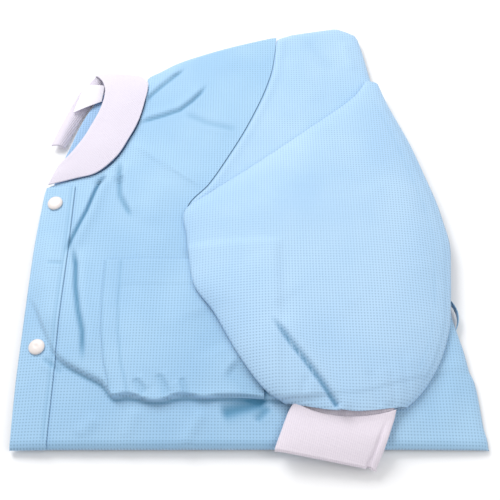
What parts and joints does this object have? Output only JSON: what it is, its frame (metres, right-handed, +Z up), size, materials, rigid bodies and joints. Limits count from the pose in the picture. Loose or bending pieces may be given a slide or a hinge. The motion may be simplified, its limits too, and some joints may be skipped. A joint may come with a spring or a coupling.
{
  "type": "folded lab jacket",
  "caption": "Disposable light-blue lab jacket with knit collar and cuffs, folded flat: front with placket, snaps and chest pocket uppermost, sleeve folded over it",
  "frame": {"origin": "on the surface that the folded jacket lies on, under the middle of its box", "axes": "+X to the folded sleeve, -X to the front edge with the snaps, -Y to the fold at the hip, +Y to the shoulder, +Z up"},
  "size_m": [0.338, 0.4084, 0.0323],
  "materials": {
    "nonwoven_blue": "embossed light-blue polypropylene non-woven, fine diamond bond points",
    "nonwoven_inside": "inside face of the same non-woven",
    "knit_white": "fine white rib knit",
    "label_white": "smooth white label tape, blank",
    "snap_white": "moulded white snap cap, satin"
  },
  "bodies": {
    "root": {"front_left": "nonwoven_blue", "placket": "nonwoven_blue", "chest_pocket": "nonwoven_blue", "sleeve_left_upper": "nonwoven_blue", "sleeve_left_lower": "nonwoven_blue", "back_panel": "nonwoven_inside", "folded_layers": "nonwoven_blue", "collar": "knit_white", "cuff_left": "knit_white", "neck_label": "label_white", "snap_cap_1": "snap_white", "snap_cap_2": "snap_white"}
  },
  "joints": []
}
